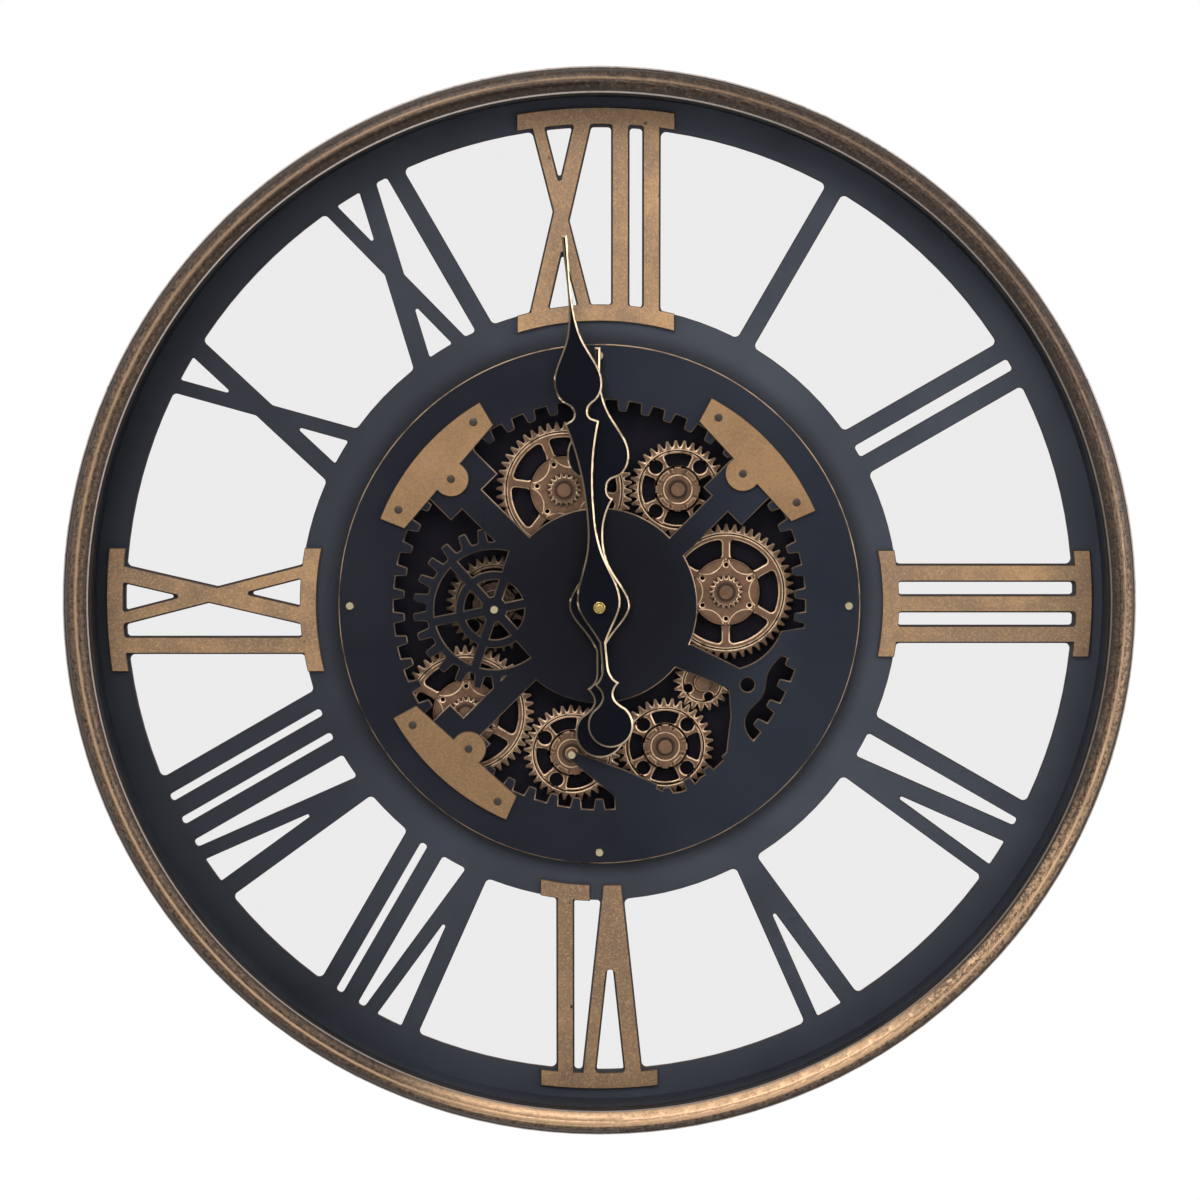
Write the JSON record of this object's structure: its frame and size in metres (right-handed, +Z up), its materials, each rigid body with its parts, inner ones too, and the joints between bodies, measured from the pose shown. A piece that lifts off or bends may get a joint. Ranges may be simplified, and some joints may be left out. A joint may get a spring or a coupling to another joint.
{
  "type": "wall clock",
  "caption": "Round skeleton wall clock with an openwork Roman dial, moving gears behind a cut-out centre plate, spade hands and a moulded bronze rim under glass.",
  "frame": {"origin": "middle of the hanger's keyhole, on the wall plane", "axes": "+Z up, +X to the right seen from the front, -Y out of the wall towards the viewer"},
  "size_m": [0.6, 0.0646, 0.6],
  "materials": {
    "rim": "dark aged bronze paint, rubbed bright on the crest",
    "black": "satin black",
    "glass": "clear",
    "gasket": "matt",
    "bronze": "mottled bronze paint",
    "steel": "plain",
    "gear": "copper-bronze metallic coat",
    "plastic": "fine grain",
    "brass": "polished",
    "board": "lacquered",
    "hand": "satin black with gold edge",
    "cell": "printed sleeve, no text",
    "wire": "insulated"
  },
  "bodies": {
    "case": {"rim_hoop": "rim", "rim_liner": "black", "dial_frame": "black", "centre_dial": "black", "gear_plate": "black", "gear_plate_pillars": "black", "drum_shell": "black", "rear_cover": "black", "frame_clips": "black", "dial_spacers": "black", "front_glass": "glass", "glass_gasket": "gasket", "numeral_xii": "bronze", "numeral_iii": "bronze", "numeral_vi": "bronze", "numeral_ix": "bronze", "corner_plate_upper_left": "bronze", "corner_plate_upper_right": "bronze", "corner_plate_lower_left": "bronze", "frame_clip_screws": "steel", "numeral_studs": "steel", "stud_push_nuts": "steel", "motor_screws": "steel", "case_screws": "steel", "hanger_plate": "steel", "hanger_rivets": "steel", "gear_arbors": "steel", "dial_screws": "steel", "corner_plate_rivets": "steel", "battery_contacts": "steel", "gear_motor": "plastic", "movement_case": "plastic", "movement_cover": "plastic", "battery_box": "plastic", "switch_body": "plastic", "movement_washer": "brass", "movement_nut": "brass", "movement_coil": "brass", "movement_board": "board", "batteries": "cell", "lead_wires": "wire"},
    "minute": {"minute_hand": "hand", "minute_arbor": "brass", "hand_cap": "brass"},
    "hour": {"hour_hand": "hand", "hour_pipe": "brass"},
    "setting": {"minute_wheel": "brass", "set_knob": "plastic"},
    "right_gear": {"gear_right": "gear"},
    "upper_right_gear": {"gear_upper_right": "gear"},
    "upper_left_gear": {"gear_upper_left": "gear"},
    "idler_gear": {"gear_idler": "gear"},
    "driver_gear": {"gear_driver": "gear", "motor_shaft": "steel"},
    "bottom_gear": {"gear_bottom": "gear"},
    "lower_left_gear": {"gear_lower_left": "gear"},
    "left_gear": {"gear_left": "gear"},
    "lid": {"battery_lid": "plastic"},
    "slider": {"switch_slider": "plastic"}
  },
  "joints": [
    {"name": "minute_spin", "type": "hinge", "parent": "case", "child": "minute", "pos_m": [0, -0.03, -0.11], "axis": [0, 1, 0], "continuous": true},
    {"name": "hour_spin", "type": "hinge", "parent": "case", "child": "hour", "pos_m": [0, -0.03, -0.11], "axis": [0, 1, 0], "continuous": true},
    {"name": "setting_spin", "type": "hinge", "parent": "case", "child": "setting", "pos_m": [0, -0.01, -0.098], "axis": [0, 1, 0], "continuous": true},
    {"name": "right_gear_spin", "type": "hinge", "parent": "case", "child": "right_gear", "pos_m": [0.0718, -0.03, -0.1026], "axis": [0, 1, 0], "continuous": true},
    {"name": "upper_right_gear_spin", "type": "hinge", "parent": "case", "child": "upper_right_gear", "pos_m": [0.04439, -0.03, -0.04436], "axis": [0, 1, 0], "continuous": true},
    {"name": "upper_left_gear_spin", "type": "hinge", "parent": "case", "child": "upper_left_gear", "pos_m": [-0.01998, -0.03, -0.04481], "axis": [0, 1, 0], "continuous": true},
    {"name": "idler_gear_spin", "type": "hinge", "parent": "case", "child": "idler_gear", "pos_m": [0.05871, -0.03, -0.15435], "axis": [0, 1, 0], "continuous": true},
    {"name": "driver_gear_spin", "type": "hinge", "parent": "case", "child": "driver_gear", "pos_m": [0.03751, -0.03, -0.19106], "axis": [0, 1, 0], "continuous": true},
    {"name": "bottom_gear_spin", "type": "hinge", "parent": "case", "child": "bottom_gear", "pos_m": [-0.01573, -0.03, -0.19497], "axis": [0, 1, 0], "continuous": true},
    {"name": "lower_left_gear_spin", "type": "hinge", "parent": "case", "child": "lower_left_gear", "pos_m": [-0.07582, -0.03, -0.1719], "axis": [0, 1, 0], "continuous": true},
    {"name": "left_gear_spin", "type": "hinge", "parent": "case", "child": "left_gear", "pos_m": [-0.05949, -0.03, -0.10964], "axis": [0, 1, 0], "continuous": true},
    {"name": "lid_slide", "type": "slide", "parent": "case", "child": "lid", "axis": [0, 1, 0], "range_m": [0, 0.03]},
    {"name": "slider_slide", "type": "slide", "parent": "case", "child": "slider", "axis": [1, 0, 0], "range_m": [0, 0.004]}
  ],
  "couplings": [
    {"joint": "hour_spin", "follows": "minute_spin", "ratio": 0.083333},
    {"joint": "setting_spin", "follows": "minute_spin", "ratio": -0.33333},
    {"joint": "upper_right_gear_spin", "follows": "right_gear_spin", "ratio": -1.4118},
    {"joint": "upper_left_gear_spin", "follows": "right_gear_spin", "ratio": 1},
    {"joint": "idler_gear_spin", "follows": "right_gear_spin", "ratio": -2.4},
    {"joint": "driver_gear_spin", "follows": "right_gear_spin", "ratio": 1.4118},
    {"joint": "bottom_gear_spin", "follows": "right_gear_spin", "ratio": -1.4118},
    {"joint": "lower_left_gear_spin", "follows": "right_gear_spin", "ratio": 1},
    {"joint": "left_gear_spin", "follows": "right_gear_spin", "ratio": -1.4118}
  ]
}
